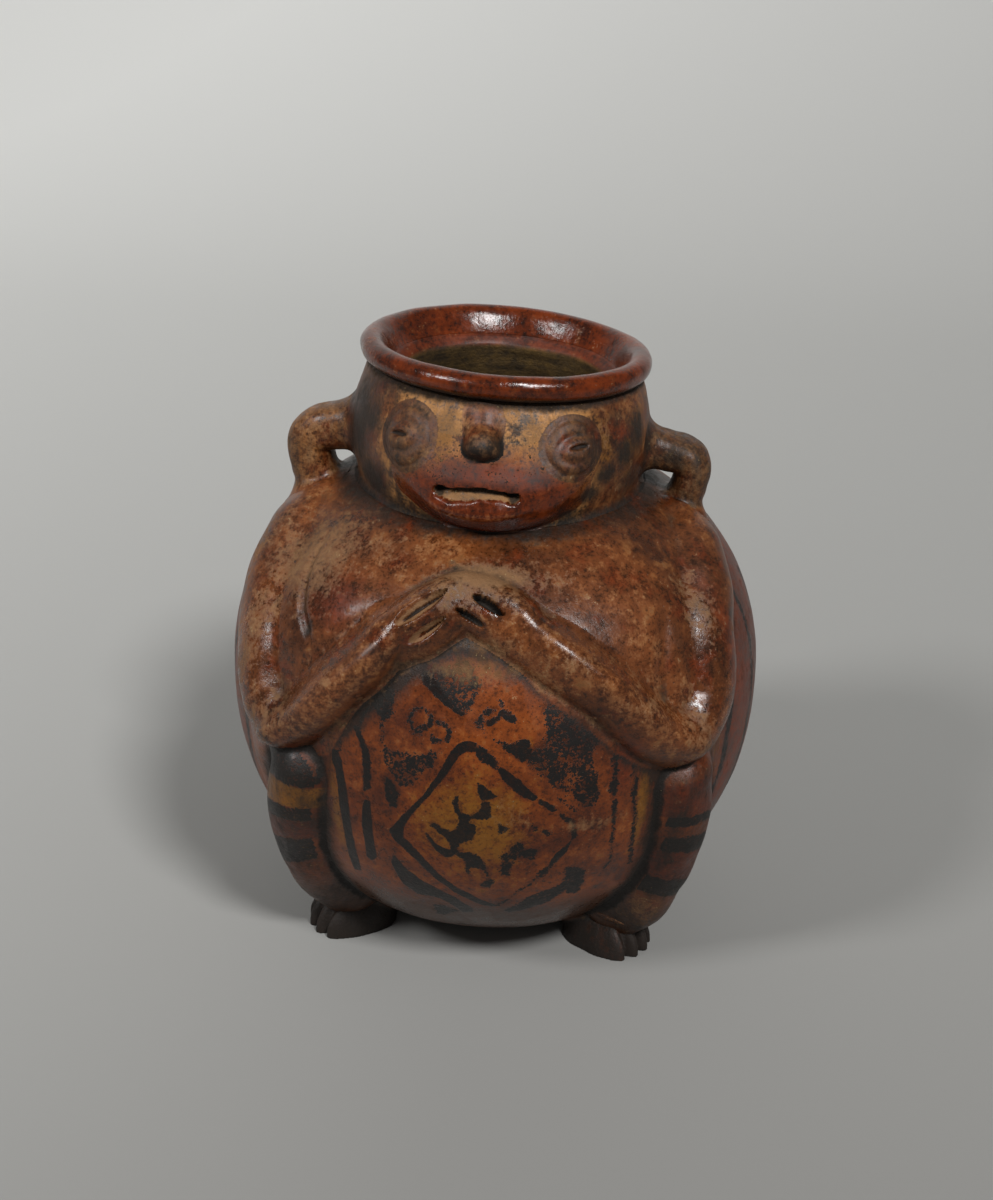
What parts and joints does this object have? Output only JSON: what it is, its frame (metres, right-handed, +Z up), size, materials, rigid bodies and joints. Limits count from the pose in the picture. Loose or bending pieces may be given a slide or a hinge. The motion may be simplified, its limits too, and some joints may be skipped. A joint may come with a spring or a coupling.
{
  "type": "pendant vessel",
  "caption": "Round clay effigy jar with a head for a neck, rolled rim, two pierced side lugs, arms folded over the belly, legs and small feet.",
  "frame": {"origin": "centre of the flat base that the jar stands on, on the jar's axis", "axes": "+Z up along the jar's axis; the figure faces -Y; +X is the side on the viewer's right when facing the figure"},
  "size_m": [0.1488, 0.1488, 0.1709],
  "materials": {
    "body_paint": "burnished red and orange slip with black painted bands, worn",
    "brown_slip": "burnished red-brown slip with pale deposits",
    "worn_slip": "worn tan and grey-brown slip, semi-matt",
    "red_slip": "glossy burnished dark red slip"
  },
  "bodies": {
    "root": {"base_bowl": "body_paint", "shoulder_wall": "body_paint", "neck_wall": "worn_slip", "rim_collar": "red_slip", "left_upper_arm": "brown_slip", "right_upper_arm": "brown_slip", "left_forearm": "brown_slip", "right_forearm": "brown_slip", "left_hand": "brown_slip", "right_hand": "brown_slip", "left_leg": "body_paint", "right_leg": "body_paint", "left_foot": "worn_slip", "right_foot": "worn_slip", "left_lug": "brown_slip", "right_lug": "brown_slip", "lip_band": "red_slip", "nose": "worn_slip", "left_eye_disc": "worn_slip", "right_eye_disc": "worn_slip"}
  },
  "joints": []
}
